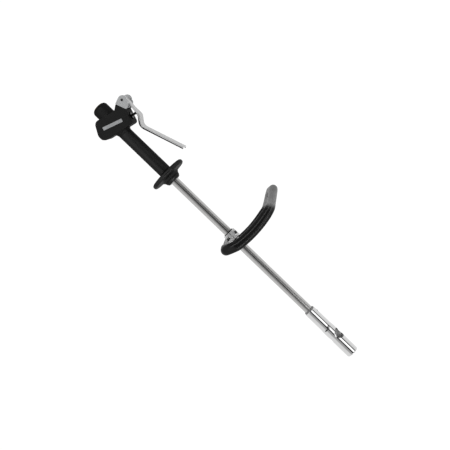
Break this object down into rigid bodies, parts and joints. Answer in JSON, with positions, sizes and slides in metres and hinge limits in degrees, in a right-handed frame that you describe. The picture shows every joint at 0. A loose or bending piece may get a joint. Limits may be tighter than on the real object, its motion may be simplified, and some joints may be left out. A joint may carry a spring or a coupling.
{
  "type": "compressed air lance",
  "caption": "Long compressed air blow gun with a lever valve, a round grip behind a disc hand guard, a straight metal tube, a clamp-on loop handle and a venturi nozzle with side ports",
  "frame": {"origin": "on the tube axis in the plane of the inlet mouth", "axes": "X along the tube from the inlet to the nozzle, Z from the tube towards the lever, Y across the lever"},
  "size_m": [0.858, 0.2257, 0.2319],
  "materials": {
    "cover_rubber": "satin moulded rubber",
    "black_plastic": "matt",
    "body_aluminium": "machined",
    "brass": "machined",
    "seat_plastic": "matt",
    "seal_rubber": "matt",
    "spring_steel": "drawn wire",
    "black_steel": "blackened",
    "bracket_steel": "silver grey, satin",
    "lever_steel": "satin zinc",
    "screw_steel": "bright zinc",
    "tube_steel": "brushed stainless",
    "clamp_metal": "bright cast",
    "loop_aluminium": "mill",
    "loop_rubber": "satin moulded rubber",
    "plate_silver": "blank satin name-plate",
    "nozzle_chrome": "polished"
  },
  "bodies": {
    "lance": {"valve_body": "body_aluminium", "body_cover": "cover_rubber", "name_plate": "plate_silver", "inlet_bushing": "brass", "valve_seat": "seat_plastic", "valve_spring": "spring_steel", "stem_seal": "seal_rubber", "gland_nut": "black_steel", "end_plug": "body_aluminium", "plug_seal": "seal_rubber", "lever_bracket": "bracket_steel", "bracket_screws": "screw_steel", "pivot_pin": "screw_steel", "lance_tube": "tube_steel", "tube_pin": "screw_steel", "grip_sleeve": "cover_rubber", "hand_guard": "black_plastic", "guard_collar": "black_plastic", "nozzle_ring": "seal_rubber", "jet_holder": "brass", "jet_seal": "seal_rubber", "jet_tip": "screw_steel", "venturi_sleeve": "nozzle_chrome", "sleeve_screws": "screw_steel"},
    "lever_arm": {"lever": "lever_steel", "lever_bush": "seat_plastic"},
    "spindle": {"valve_stem": "black_steel", "poppet": "brass", "poppet_seal": "seal_rubber"},
    "liner": {"clamp_liner": "black_plastic"},
    "handle": {"clamp_cap": "clamp_metal", "clamp_base": "clamp_metal", "clamp_bolts": "screw_steel", "clamp_nuts": "screw_steel", "clamp_washers": "screw_steel", "loop_core": "loop_aluminium", "loop_sleeve": "loop_rubber"}
  },
  "joints": [
    {"name": "lever_hinge", "type": "hinge", "parent": "lance", "child": "lever_arm", "pos_m": [0.0371, 0, 0.0599], "axis": [0, 1, 0], "range_deg": [0, 12], "stiffness_Nm_per_rad": 8, "springref_deg": -14.9},
    {"name": "stem_slide", "type": "slide", "parent": "lance", "child": "spindle", "axis": [-0.3007, 0, -0.9537], "range_m": [0, 0.0088], "deforming": ["valve_spring"]},
    {"name": "liner_slide", "type": "slide", "parent": "lance", "child": "liner", "axis": [1, 0, 0], "range_m": [-0.15, 0.2]},
    {"name": "handle_swivel", "type": "hinge", "parent": "liner", "child": "handle", "pos_m": [0.449, 0, 0], "axis": [1, 0, 0], "range_deg": [-60, 60]}
  ],
  "couplings": [
    {"joint": "stem_slide", "follows": "lever_hinge", "m_per_rad": 0.0413}
  ]
}
